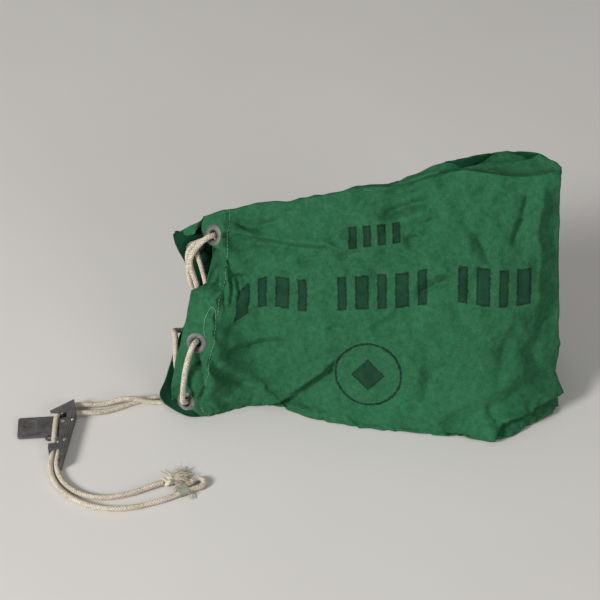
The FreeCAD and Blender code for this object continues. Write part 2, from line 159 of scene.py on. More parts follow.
def print_distance(s, u, v):
    """Distance outside the printed marks: a long row of bars, a short row and a badge,
    which are generic and carry no text. Millimetres on the flat cloth."""
    shifted = s.minus(u, ROW_FROM)
    slot = s.math("FLOOR", s.math("DIVIDE", shifted, ROW_PITCH))
    odd = s.math("PINGPONG", slot, 1.0)
    half_width = s.math("MULTIPLY_ADD", odd, ROW_ODD - ROW_EVEN, ROW_EVEN)
    block = s.outside(s.minus(shifted, s.times(slot, ROW_PITCH)), ROW_PITCH / 2, half_width)
    row = s.math("MAXIMUM", block, s.outside(v, ROW_HEIGHT, ROW_HALF))
    for gap in ROW_GAPS:
        hole = box_distance(s, u, v, (ROW_FROM + ROW_PITCH * (gap + 0.5), ROW_HEIGHT),
                            (ROW_PITCH / 2, 2 * ROW_HALF))
        row = s.math("MAXIMUM", row, s.times(hole, -1))
    half_row = ROW_PITCH * ROW_SLOTS / 2
    row = s.math("MAXIMUM", row, s.outside(u, ROW_FROM + half_row, half_row))
    du, dv = s.minus(u, BADGE_AT[0]), s.minus(v, BADGE_AT[1])
    from_middle = s.math("SQRT", s.math("ADD", s.times(du, du), s.times(dv, dv)))
    ring = s.outside(from_middle, BADGE_RADIUS, BADGE_LINE / 2)
    diamond = s.minus(s.math("ADD", s.math("ABSOLUTE", du), s.math("ABSOLUTE", dv)),
                      BADGE_DIAMOND)
    nearest = row
    for shape in [box_distance(s, u, v, *bar) for bar in SHORT_ROW] + [ring, diamond]:
        nearest = s.math("MINIMUM", nearest, shape)
    return nearest


# The print, in millimetres on the flat cloth, from the middle of its length and its foot.
ROW_FROM, ROW_PITCH, ROW_SLOTS, ROW_GAPS = -141.0, 22.0, 15, (4, 10)
ROW_HEIGHT, ROW_HALF = 170.0, 20.0
ROW_EVEN, ROW_ODD = 7.6, 5.2        # half widths of the bars, by turns
SHORT_ROW = [((middle, 238), (4.5, 13)) for middle in (-8, 8, 24, 40)]
BADGE_AT, BADGE_RADIUS, BADGE_LINE, BADGE_DIAMOND = (8.0, 71.0), 37.0, 2.6, 19.0
OUTLINE = 2.0
YARN_SPACING = 0.62
PANEL_HEIGHT = 290.0        # flat height of the front


def cloth_material():
    """Worn green duck: blotches, yarns both ways, and the print on the front panel."""
    s = Shader("green_duck")
    flat = s.add("UVMap", uv_map="flat").outputs[0]
    split = s.add("SeparateXYZ", {0: flat})
    u, v = (s.times(output, 1000.0) for output in split.outputs[:2])

    def yarns(across, along):
        at = s.add("CombineXYZ", {0: s.times(u, across), 1: s.times(v, along)})
        return s.noise(1.0, 2, 0.6, at.outputs[0])

    blotches = s.noise(9, 5, 0.6)
    mottle = s.noise(170, 3, 0.65)
    yarn = s.math("ADD", yarns(0.16, 1.7), yarns(1.7, 0.16))
    colour = s.mix(s.band(blotches, 0.35, 0.68), CLOTH_DARK, CLOTH_MID)
    colour = s.mix(s.band(mottle, 0.35, 0.72, 0.0, 0.42), colour, CLOTH_LIGHT)
    colour = s.mix(s.band(yarn, 0.75, 1.3, 0.0, 0.5), colour, CLOTH_LIGHT)
    distance = s.math("ADD", print_distance(s, u, v),
                      s.band(s.noise(260, 4, 0.7), 0.3, 0.7, -0.9, 0.9))
    ink = s.band(distance, 0.45, -0.45)
    inner = s.band(distance, -OUTLINE + 0.4, -OUTLINE - 0.5)
    worn = s.band(s.noise(90, 4, 0.7), 0.25, 0.75, 1.0, 0.68)
    ink_colour = s.mix(inner, INK_LINE, INK_FILL)
    front = s.math("LESS_THAN", v, PANEL_HEIGHT)
    colour = s.mix(s.times(s.times(ink, worn), front), colour, ink_colour)
    half_wave = TAU / YARN_SPACING / 2
    threads = s.times(s.math("SINE", s.times(u, half_wave)),
                      s.math("SINE", s.times(v, half_wave)))
    height = s.math("ADD", s.times(threads, 0.4), yarn)
    return s.surface(Base_Color=colour, Roughness=0.93, Specular_IOR_Level=0.25,
                     Normal=s.bump(height, 0.3, 0.00012))


CLOTH_DARK, CLOTH_MID, CLOTH_LIGHT = srgb(10, 68, 39), srgb(18, 87, 52), srgb(62, 121, 85)
INK_LINE, INK_FILL = srgb(8, 28, 21), srgb(14, 52, 35)


def lining_material(name, dark, light):
    """The inside of the sack or of its hem, which is not printed, in the cloth's green darkened as
    painted shade.
    """
    s = Shader(name)
    colour = s.mix(s.noise(150, 4, 0.6), dark, light)
    return s.surface(Base_Color=colour, Roughness=0.95, Specular_IOR_Level=0.15,
                     Normal=s.bump(s.noise(1800, 2, 0.6), 0.3, 0.0002))


def cord_material():
    """Soiled cotton, with painted shade in the grooves between the strands."""
    s = Shader("cotton_cord")
    groove = s.add("Attribute", attribute_name="groove").outputs["Fac"]
    dirt = s.noise(45, 5, 0.65)
    specks = s.noise(520, 3, 0.8)
    colour = s.mix(s.band(dirt, 0.36, 0.66), CORD_CLEAN, CORD_DIRTY)
    colour = s.mix(s.band(specks, 0.42, 0.62, 0.0, 0.8), colour, CORD_LIGHT)
    # Painted shade: the grooves between the strands are darkened toward CORD_SHADE.
    colour = s.mix(s.times(groove, s.band(specks, 0.62, 0.38, 0.25, 0.7)), colour, CORD_SHADE)
    fibres = s.noise(2400, 2, 0.6)
    return s.surface(Base_Color=colour, Roughness=0.95, Specular_IOR_Level=0.2,
                     Normal=s.bump(fibres, 0.6, 0.0003))


CORD_CLEAN, CORD_DIRTY = srgb(216, 206, 184), srgb(172, 157, 134)
CORD_LIGHT, CORD_SHADE = srgb(240, 232, 214), srgb(84, 72, 58)


def steel_material(name, light, dark, metallic, roughness):
    """Dull metal with stains, worn brighter on its scratches and high edges."""
    s = Shader(name)
    stains = s.noise(90, 5, 0.65)
    streaks = s.add("Mapping", {"Vector": s.where, "Rotation": (0, 0, 1.22),
                                "Scale": (60.0, 1500.0, 300.0)}).outputs[0]
    scratch = s.noise(1.0, 3, 0.7, streaks)
    edge = s.add("NewGeometry").outputs["Pointiness"]
    colour = s.mix(s.band(stains, 0.35, 0.68), dark, light)
    for share, brighter in ((s.band(scratch, 0.52, 0.75, 0.0, 0.55), 1.7),
                            (s.band(edge, 0.52, 0.6, 0.0, 0.6), 2.2)):
        colour = s.mix(share, colour, tuple(min(1.0, brighter * v) for v in light[:3]) + (1.0,))
    rough = s.band(stains, 0.3, 0.7, roughness - 0.1, roughness + 0.15)
    return s.surface(Base_Color=colour, Roughness=rough, Metallic=metallic,
                     Normal=s.bump(s.math("ADD", scratch, stains), 0.25, 0.0003))


def thread_material(name, light, dark):
    """Plain thread, a little uneven in colour."""
    s = Shader(name)
    colour = s.mix(s.noise(300, 2), light, dark)
    return s.surface(Base_Color=colour, Roughness=0.8)


CLOTH = cloth_material()
# Painted shade: the sack's inside is the cloth's own green darkened a little, and the hem's inside,
# the cloth's right side, darker still.
LINING_SHADED = lining_material("duck_inside_painted_shade", srgb(13, 62, 38), srgb(21, 80, 49))
HEM_INSIDE_SHADED = lining_material("hem_inside_painted_shade", srgb(11, 50, 31), srgb(17, 64, 40))
THREAD_MATERIAL = thread_material("hem_thread", srgb(150, 186, 152), srgb(88, 136, 100))
CORD = cord_material()
WHIPPING = thread_material("whipping_thread", srgb(188, 190, 172), srgb(128, 128, 112))
STEEL = steel_material("fastener_steel", srgb(104, 101, 98), srgb(70, 68, 66), 0.35, 0.5)
RIVET = steel_material("rivet_steel", srgb(196, 192, 184), srgb(120, 116, 110), 0.8, 0.3)
EYELET = steel_material("eyelet_metal", srgb(118, 119, 114), srgb(74, 78, 76), 0.4, 0.5)

# ---- floor ----
floor = piece("floor", [(-4, -4, 0), (4, -4, 0), (4, 4, 0), (-4, 4, 0)], [(0, 1, 2, 3)])
s = Shader("floor")
pale = s.mix(s.noise(3), srgb(214, 210, 204), srgb(222, 219, 214))
floor.data.materials.append(s.surface(Base_Color=pale, Roughness=0.9))

# ---- cord ----
# The routes follow those of the CAD model, in millimetres. A point with no height is that of
# a cord lying on the floor.
CORD_DIAMETER = 6.2
CORD_LEVEL = CORD_DIAMETER / 2 + 0.1
LACE_FRONT = [
    (-203.9, -25, 7), (-203.9, -26, 15), (-202, -33, 20), (-194, -34.5, 20), (-188.5, -36, 15.5),
    (-191, -40.5, 13.5), (-197, -45, 16), (-200.8, -51.5, 21), (-199.6, -53, 34),
    (-197.8, -51, 53), (-195, -46, 69), (-190.5, -37, 83), (-186, -30, 91), (-183.5, -24, 89),
    (-181, -14, 86), (-180, -5, 93), (-181, 4, 105), (-181.5, 13, 117), (-182, 21, 129),
    (-187, 27, 144), (-190.5, 29, 158), (-188.5, 31, 170), (-179, 34, 183), (-170, 36, 190.5),
    (-163, 41, 190), (-157, 47, 185),
]
LACE_BACK = [
    (-152, 52, 180.8), (-155, 60, 173), (-167, 64, 168), (-182, 60, 166), (-190, 57, 162),
    (-195, 55, 152), (-194.5, 52, 138), (-193, 46, 120), (-188, 43, 107), (-177, 48, 101),
    (-166, 57, 101), (-161, 68, 98), (-158.5, 79, 94), (-157, 89, 101), (-163, 94, 116),
    (-175, 94, 132), (-185, 90, 144), (-188, 82, 149), (-187, 74, 148), (-184, 63, 144),
    (-179, 52, 135), (-174, 40, 120), (-172, 33, 104), (-175, 27, 90), (-182, 23, 78),
    (-186, 25, 68), (-188.5, 30, 61), (-192, 37, 54), (-200, 39, 52), (-209, 33, 56),
    (-214, 24, 64), (-210, 13, 69), (-209.5, 3, 58), (-210, -8, 45), (-207, -17, 34),
    (-202, -21, 26), (-198.1, -25, 16), (-198.1, -25, 7),
]
LEAD_A = [
    (-206, -22), (-222, -21), (-240, -25), (-262, -34), (-284, -46), (-302, -51, 4.5),
    (-318, -51, 4.5),
]
LEAD_B = [
    (-206, -33), (-222, -32), (-240, -33), (-256, -34, 11), (-273, -35, 11), (-289, -36, 4.5),
    (-303, -38, 4.5), (-318, -38, 4.5),
]
TAIL_A = [
    (-318, -51, 4.5), (-326, -51, 4.5), (-329.2, -60, 4.5), (-328.5, -73.2, 4.5),
    (-331.2, -86.5, 4.5), (-335, -98.9, 4.5), (-335, -110.9, 4.5), (-336.2, -125, 4.4),
    (-335, -140), (-326, -159), (-309, -174), (-289, -181.5), (-268, -180.5), (-246, -173.5),
    (-232, -167.2, 4.8), (-223, -163.4, 5.6), (-216, -160.5, 5.6),
]
TAIL_B = [
    (-318, -38, 4.5), (-327, -38, 4.5), (-337.6, -43.6, 6.6), (-343, -54.6, 8.1),
    (-343.5, -66.5, 9.3), (-343.1, -78.5, 9.6), (-342.5, -90.5, 9.6), (-342.1, -102, 7.2),
    (-341.5, -113.4, 4.7), (-342.8, -126, 4.3), (-341.5, -144), (-333, -163), (-316, -181),
    (-295, -192.5), (-272, -198), (-248, -196), (-225, -188.5), (-213, -184, 3.6),
    (-202.88, -178.99, 4.1), (-183.08, -168.3, 4.1), (-177.3, -167.5, 4.1), (-171.5, -163, 4.1),
    (-171, -156.5, 4.1), (-177, -152.5, 4.1), (-183.3, -155.8, 4.1), (-186.12, -162.67, 4.1),
    (-203.28, -171.93, 4.1),
]


def centreline(route, step):
    """Points a step apart along the route's spline, in metres, and the directions there."""
    data = bpy.data.curves.new("line", "CURVE")
    data.dimensions = "3D"
    data.resolution_u = 16
    spline = data.splines.new("NURBS")
    spline.points.add(len(route) - 1)
    for point, place in zip(spline.points, route):
        point.co = (place[0] * MM, place[1] * MM, place[2] * MM, 1)
    spline.order_u = 3
    spline.use_endpoint_u = True
    holder = bpy.data.objects.new("line", data)
    mesh = bpy.data.meshes.new_from_object(holder)
    line = np.array([v.co for v in mesh.vertices])
    bpy.data.meshes.remove(mesh)
    bpy.data.curves.remove(data)
    along = np.concatenate([[0], np.cumsum(norm(np.diff(line, axis=0), axis=1))])
    at = np.linspace(0, along[-1], int(along[-1] / step) + 2)
    points = np.stack([np.interp(at, along, line[:, k]) for k in range(3)], axis=1)
    ahead = np.gradient(points, axis=0)
    return points, ahead / norm(ahead, axis=1)[:, None], at


def frames(points, ahead):
    """Two directions across the line at each point, which turn as little as they can."""
    side = np.cross(ahead[0], (0.1, 0.2, 1.0))
    sides, ups = [], []
    for direction in ahead:
        side = side - direction * side.dot(direction)
        side = side / norm(side)
        sides.append(side)
        ups.append(np.cross(direction, side))
    return np.array(sides), np.array(ups)


BRAID_ROUND = 26            # points round a cord
BRAID_STEP = 0.00062        # distance between rings of points, in metres
BRAID_PITCH = 0.0120        # length in which a strand goes once round, in metres
BRAID_STRANDS = 4           # strands each way round
BRAID_BASE, BRAID_RELIEF = 0.9, 0.12    # shares of the radius
PATH_EVERY = 3              # rings between the points returned along the cord's middle


def rope(name, route):
    """A braided cord: a tube whose surface follows two crossing sets of strands.
    Returns it, and points along its middle."""
    points, ahead, at = centreline(route, BRAID_STEP)
    sides, ups = frames(points, ahead)
    angle = np.arange(BRAID_ROUND) / BRAID_ROUND * TAU
    turn = TAU * at[:, None] / BRAID_PITCH
    left = np.cos(BRAID_STRANDS * (angle[None, :] + turn))
    right = np.cos(BRAID_STRANDS * (angle[None, :] - turn))
    height = np.maximum(left, right)
    around = CORD_DIAMETER / 2 * MM * (BRAID_BASE + BRAID_RELIEF * height)
    across = (np.cos(angle)[None, :, None] * sides[:, None, :]
              + np.sin(angle)[None, :, None] * ups[:, None, :])
    ring = points[:, None, :] + around[:, :, None] * across
    count = len(points)
    index = np.arange(count * BRAID_ROUND).reshape(count, BRAID_ROUND)
    after = np.roll(index, -1, axis=1)
    faces = np.stack([index[:-1], index[1:], after[1:], after[:-1]], axis=-1).reshape(-1, 4)
    faces = [tuple(face) for face in faces] + [tuple(index[0]), tuple(index[-1][::-1])]
    obj = piece(name, ring.reshape(-1, 3), faces, CORD)
    # How deep each point lies between the strands; the cord material paints shade there.
    groove = obj.data.attributes.new("groove", "FLOAT", "POINT")
    groove.data.foreach_set("value", np.clip(0.9 - height, 0, 1).astype(np.float32).ravel())
    picks = np.unique(np.linspace(0, count - 1, count // PATH_EVERY).round().astype(int))
    return obj, [tuple(point) for point in points[picks]]


def tube(vertices, faces, line, radii, sides=5):
    """Add a closed tube along a line of points; one radius for each point."""
    line = np.asarray(line, float)
    ahead = np.gradient(line, axis=0)
    ahead = ahead / np.maximum(norm(ahead, axis=1), 1e-9)[:, None]
    across, upward = frames(line, ahead)
    first = len(vertices)
    for point, side, up, radius in zip(line, across, upward, radii):
        for turn in range(sides):
            angle = TAU * turn / sides
            vertices.append(point + radius * (math.cos(angle) * side + math.sin(angle) * up))
    for ring in range(len(line) - 1):
        for turn in range(sides):
            a, b = first + ring * sides + turn, first + ring * sides + (turn + 1) % sides
            faces.append((a, a + sides, b + sides, b))
    faces.append(tuple(first + turn for turn in range(sides)))
    last = first + (len(line) - 1) * sides
    faces.append(tuple(last + turn for turn in range(sides))[::-1])


def cord(name, route, nodes, body, length, far_end, lay, **more):
    """A cord in place of CAD nodes. It rides a body, or with none it stays unparented in the world.
    """
    route = [tuple(point) + (CORD_LEVEL,) * (3 - len(point)) for point in route]
    obj, line = rope(name, route)
    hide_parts(*nodes)
    if body:
        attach(obj, body)
    else:
        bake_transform(obj)


cord("draw_cord", LACE_FRONT + LACE_BACK, ("draw_cord_front", "draw_cord_back"), "sack", 0.78,
     "object", "taut")
cord("lead_a", LEAD_A, ("lead_cord_a",), None, 0.118, "object", "loose")
cord("lead_b", LEAD_B, ("lead_cord_b",), None, 0.114, "object", "loose")

# The cords' ends, in millimetres.
KNOT_AT = np.array((-211.0, -158.4, 5.3))
KNOT_SIZE, KNOT_STRAND = 1.75, 2.3      # scale of the knot's curve; strand's radius
FRAY_COUNT, FRAY_LENGTH = 150, (11, 25)
FIBRE_RADII = (0.42, 0.2)   # at its root and at its tip


def end_knot():
    """Tail A's end: a tight knot, and beyond it the cord frayed into loose yarn."""
    turn = np.linspace(0, TAU, 90)
    curve = np.stack([np.sin(turn) + 2 * np.sin(2 * turn), np.cos(turn) - 2 * np.cos(2 * turn),
                      -1.15 * np.sin(3 * turn)], axis=1) * KNOT_SIZE
    vertices, faces = [], []
    tube(vertices, faces, KNOT_AT + curve * (1.0, 0.8, 1.0), [KNOT_STRAND] * len(turn), 14)
    draw = np.random.default_rng(2)
    for _ in range(FRAY_COUNT):
        heading = draw.normal(0.72, 0.42)
        ahead = np.array((math.cos(heading), math.sin(heading), draw.uniform(-0.25, 0.22)))
        side = np.array((-ahead[1], ahead[0], 0.0))
        start = KNOT_AT + np.array((3.5, 2.2, 0)) + draw.normal(0, 1.3, 3) * (1, 1, 0.6)
        length, curl, wave = draw.uniform(*FRAY_LENGTH), draw.normal(0, 0.25), draw.uniform(0, TAU)
        line = []
        for share in np.linspace(0, 1, 9):
            point = (start + ahead * length * share + side * length * curl * share ** 2
                     + side * 0.5 * math.sin(wave + 9 * share))
            point[2] = max(point[2] - 3.0 * share * share, 0.45)
            line.append(point)
        tube(vertices, faces, line, np.linspace(*FIBRE_RADII, 9))
    return piece("end_knot_a", np.array(vertices) * MM, faces, CORD)


WHIPPING_FROM, WHIPPING_TO = np.array((-200, -173.8, 4.1)), np.array((-189, -167.86, 4.1))
WHIPPING_TURNS, TURN_STEPS, LOOSE_ENDS = 13, 24, 9
STRAND_GAP, WHIPPING_THREAD = 3.2, 0.55


def end_whipping():
    """Thread wound round the two strands of tail B's loop, with its loose ends."""
    along = WHIPPING_TO - WHIPPING_FROM
    unit = along / norm(along)
    side, up = np.array((-unit[1], unit[0], 0.0)), np.array((0, 0, 1.0))
    radius = CORD_DIAMETER / 2 + WHIPPING_THREAD * 0.6
    draw = np.random.default_rng(4)
    line = []
    for step in range(WHIPPING_TURNS * TURN_STEPS + 1):
        turn = step / TURN_STEPS
        angle = TAU * turn
        across = STRAND_GAP * np.clip(1.6 * math.cos(angle), -1, 1) + radius * math.cos(angle)
        place = WHIPPING_FROM + along * (turn / WHIPPING_TURNS + 0.02 * math.sin(2.2 * turn))
        line.append(place + side * across + up * radius * math.sin(angle) * 0.97)
    vertices, faces = [], []
    tube(vertices, faces, line, [WHIPPING_THREAD] * len(line), 7)
    for _ in range(LOOSE_ENDS):
        start = WHIPPING_FROM + along * draw.uniform(0.4, 1.0) - side * (STRAND_GAP + 2)
        heading = draw.uniform(-1.6, 0.1)
        ahead = np.array((math.cos(heading), math.sin(heading), 0))
        loose = [start + ahead * 9 * share + np.array((0, 0, 1.5 - 4.6 * share))
                 + side * 1.2 * math.sin(5 * share + heading) for share in np.linspace(0, 1, 8)]
        loose = [np.array((x, y, max(z, 0.4))) for x, y, z in loose]
        tube(vertices, faces, loose, np.linspace(0.35, 0.18, 8))
    return piece("end_whipping_b", np.array(vertices) * MM, faces, WHIPPING)


for name, route, node, length, end_node, slot, end_piece in (
        ("tail_a", TAIL_A, "tail_cord_a", 0.238, "tail_knot_a", "cord", end_knot()),
        ("tail_b", TAIL_B, "tail_cord_b", 0.369, "tail_whipping_b", "thread", end_whipping())):
    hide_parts(end_node)
    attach(end_piece, "fastener")
    cord(name, route, (node,), "fastener", length, "knot", "loose", with_pieces=[end_piece])

# ---- sack ----
# The rings follow those of the CAD model, in millimetres, from the closed end to the mouth.
# A plain ring has its front foot, front ridge, rear ridge and rear foot, and then how far
# the front, the roof and the back bulge.
PLAIN_RINGS = [
    ((229, -42, 0), (214, 45, 276.5), (216, 52, 276), (227, 80, 0), 5, -5, 2),
    ((194, -71, 0), (191, 38, 277.5), (195, 82, 277.5), (192, 90, 0), 4, -11, 4),
    ((158, -94, 0), (160, 37, 277), (158, 83, 278), (158, 93.5, 0), 4, -12, 4),
    ((100, -88, 0), (97, 46, 279), (101, 70, 277), (100, 91, 0), 6, -7, 5),
    ((46, -81, 0), (42, 48, 259), (42, 66, 251), (44, 90, 0), 9, -1, 6),
    ((-8, -72, 0), (-12, 49, 247), (-12, 68, 236), (-10, 86, 0), 12, 3, 8),
    ((-60, -56, 0), (-67, 51, 232), (-67, 70, 218), (-65, 80, 0), 14, 3, 9),
    ((-108, -35, 0), (-111, 55, 226), (-111, 76, 208), (-110, 66, 0), 16, 3, 8),
]
STITCH_RING = [
    (-168, -51, 0), (-181, -51, 13), (-172, -50, 52), (-164, -34, 90), (-157, -2, 130),
    (-148, 32, 192), (-146, 57, 213), (-158, 70, 200), (-172, 80, 180), (-166, 80, 150),
    (-150, 84, 122), (-145, 78, 96), (-158, 54, 76), (-170, 40, 58), (-184, 10, 5),
    (-178, -14, 2.5), (-172, -38, 1),
]
EYELET_RING = [
    (-190, -54, 1), (-197, -45, 16), (-190, -44, 52), (-183, -25, 88), (-170, 8, 132),
    (-163, 41, 190), (-160, 60, 206), (-178, 72, 186), (-193, 80, 170), (-187, 75, 148),
    (-168, 76, 122), (-161, 68, 98), (-176, 42, 80), (-188, 29, 62), (-205, -2, 12),
    (-201, -25, 9), (-198, -42, 7.5),
]
FREE_EDGE_RING = [
    (-206, -49, 3), (-214, -38, 20), (-210, -32, 54), (-201, -16, 90), (-189, 9, 134),
    (-177, 54, 186), (-175, 66, 197), (-189, 69, 168), (-211, 80, 163), (-207, 73, 146),
    (-196, 69, 118), (-189, 61, 93), (-194, 34, 80), (-206, 18, 62), (-223, -8, 17),
    (-229, -26, 9.5), (-221, -41, 8.5),
]
EYELETS = [                 # spot in the eyelet ring, and the eyelet's axis
    (5, (-0.66, -0.60, 0.45)), (3, (-0.25, -0.87, 0.43)), (1, (-0.50, -0.76, 0.42)),
    (9, (-0.20, 0.97, 0.10)), (11, (0.20, 0.90, -0.38)), (13, (-0.30, 0.62, -0.72)),
    (15, (0.0, 0.0, -1.0)),
]
FRONT, ROOF, BACK, BASE = 6, 2, 6, 3        # control segments on each side
FRONT_CELLS, ROOF_CELLS = 144, 60           # fine cells along the front and the roof
PLAIN_CELL, MOUTH_CELL = 4.4, 3.2           # pairs of cells along the sack, in mm
CLOTH_THICKNESS = 0.9       # mm; the hem has twice as much
TUCK = np.array([15.0, 10.0, -7.0])     # how far the mouth is tucked back, in mm
PLAIN_LAST, STITCHED = 7, 8     # numbers of the last plain and the stitched ring


def smooth_through(points, closed, at):
    """A centripetal Catmull-Rom curve through control points, at positions 0, 1, 2, ..."""
    points, at = np.asarray(points, float), np.asarray(at, float)
    if closed:
        padded = np.concatenate([points[-1:], points, points[:2]])
    else:
        before, after = 2 * points[0] - points[1], 2 * points[-1] - points[-2]
        padded = np.concatenate([[before], points, [after]])
    start = np.clip(np.floor(at).astype(int), 0, len(padded) - 4)
    h = (at - start)[:, None]
    p0, p1, p2, p3 = (padded[start + k] for k in range(4))
    knot = lambda a, b: np.maximum(norm(b - a, axis=-1), 1e-6)[..., None] ** 0.5
    d0, d1, d2 = knot(p0, p1), knot(p1, p2), knot(p2, p3)
    m1 = (p1 - p0) / d0 - (p2 - p0) / (d0 + d1) + (p2 - p1) / d1
    m2 = (p2 - p1) / d1 - (p3 - p1) / (d1 + d2) + (p3 - p2) / d2
    m1, m2 = m1 * d1, m2 * d1
    return ((2 * h ** 3 - 3 * h ** 2 + 1) * p1 + (h ** 3 - 2 * h ** 2 + h) * m1
            + (3 * h ** 2 - 2 * h ** 3) * p2 + (h ** 3 - h ** 2) * m2)


def spots_round():
    """Control positions round a ring of each fine point: front, roof, back and base."""
    spots = []
    start = 0
    for segments, cells in ((FRONT, FRONT_CELLS), (ROOF, ROOF_CELLS), (BACK, FRONT_CELLS),
                            (BASE, ROOF_CELLS)):
        spots += [start + segments * k / cells for k in range(cells)]
        start += segments
    return np.array(spots)


def plain_points(ring, spots):
    corners, (front, roof, back) = np.array(ring[:4], float), ring[4:]
    result = np.zeros((len(spots), 3))
    start = 0
    for number, (segments, bulge, outward) in enumerate((
            (FRONT, front, (0, -0.9, 0.4)), (ROOF, roof, (0, 0, 1)),
            (BACK, back, (0, 1, 0)), (BASE, 0, (0, 0, 0)))):
        inside = (spots >= start) & (spots < start + segments)
        share = ((spots[inside] - start) / segments)[:, None]
        a, b = corners[number], corners[(number + 1) % 4]
        result[inside] = a + (b - a) * share + np.array(outward) * (4 * bulge * share * (1 - share))
        start += segments
    return result


def loft():
    """The sack's outer surface: fine rings from the closed end to the free edge, in mm."""
    spots = spots_round()
    rings = [plain_points(ring, spots) for ring in PLAIN_RINGS]
    for ring in (STITCH_RING, EYELET_RING, FREE_EDGE_RING):
        rings.append(smooth_through(ring, True, spots))
    rings = np.array(rings)
    steps = norm(np.diff(rings, axis=0), axis=2).mean(axis=1)
    lengthwise = []
    for number, step in enumerate(steps):
        cells = 2 * max(2, round(step / (MOUTH_CELL if number >= PLAIN_LAST else PLAIN_CELL)))
        lengthwise += [number + k / cells for k in range(cells)]
    lengthwise.append(len(rings) - 1)
    columns = [smooth_through(rings[:, k], False, lengthwise) for k in range(len(spots))]
    lengthwise = np.array(lengthwise)
    # Between the upper two front eyelets the mouth is tucked back behind the cloth below it.
    tuck = np.clip((spots - 4.04) / 0.11, 0, 1) * np.clip((4.98 - spots) / 0.42, 0, 1)
    reach = np.clip((lengthwise - 7.7) / 1.6, 0, 1) ** 1.5
    surface = np.array(columns).transpose(1, 0, 2)
    return surface + (reach[:, None] * tuck)[..., None] * TUCK, lengthwise, spots


surface, lengthwise, spots = loft()
ROWS, ROUND = surface.shape[:2]
FRONT_RIDGE, REAR_RIDGE = FRONT_CELLS, FRONT_CELLS + ROOF_CELLS
REAR_FOOT = REAR_RIDGE + FRONT_CELLS
ROUNDED = [(0, 3.0), (FRONT_RIDGE, 3.0), (REAR_RIDGE, 2.5), (REAR_FOOT, 3.0)]
ROUNDING_PASSES = 10


def normals_of(grid):
    """Outward unit normals of a grid of rings."""
    around = np.roll(grid, -1, axis=1) - np.roll(grid, 1, axis=1)
    along = np.gradient(grid, axis=0)
    normal = np.cross(around, along)
    return normal / np.maximum(norm(normal, axis=2), 1e-9)[..., None]


def round_corners(grid):
    """Soften the four folds that run along the sack, each within its reach in cells."""
    columns = np.arange(ROUND)
    near = np.zeros(ROUND)
    for corner, reach in ROUNDED:
        gap = np.abs((columns - corner + ROUND / 2) % ROUND - ROUND / 2)
        near = np.maximum(near, np.exp(-(gap / reach) ** 2))
    for _ in range(ROUNDING_PASSES):
        mean = (np.roll(grid, 1, axis=1) + np.roll(grid, -1, axis=1)) / 2
        grid = grid + (mean - grid) * (0.5 * near)[None, :, None]
    return grid


def distance_to(line, x, y):
    """Distance of points from a polyline in the plane, and whether they are on its left."""
    best, left = np.full(x.shape, 1e9), np.zeros(x.shape, bool)
    for (ax, ay), (bx, by) in zip(line, line[1:]):
        dx, dy = bx - ax, by - ay
        share = np.clip(((x - ax) * dx + (y - ay) * dy) / (dx * dx + dy * dy), 0, 1)
        gap = np.hypot(x - ax - share * dx, y - ay - share * dy)
        left = np.where(gap < best, dx * (y - ay) - dy * (x - ax) > 0, left)
        best = np.minimum(best, gap)
    return best, left


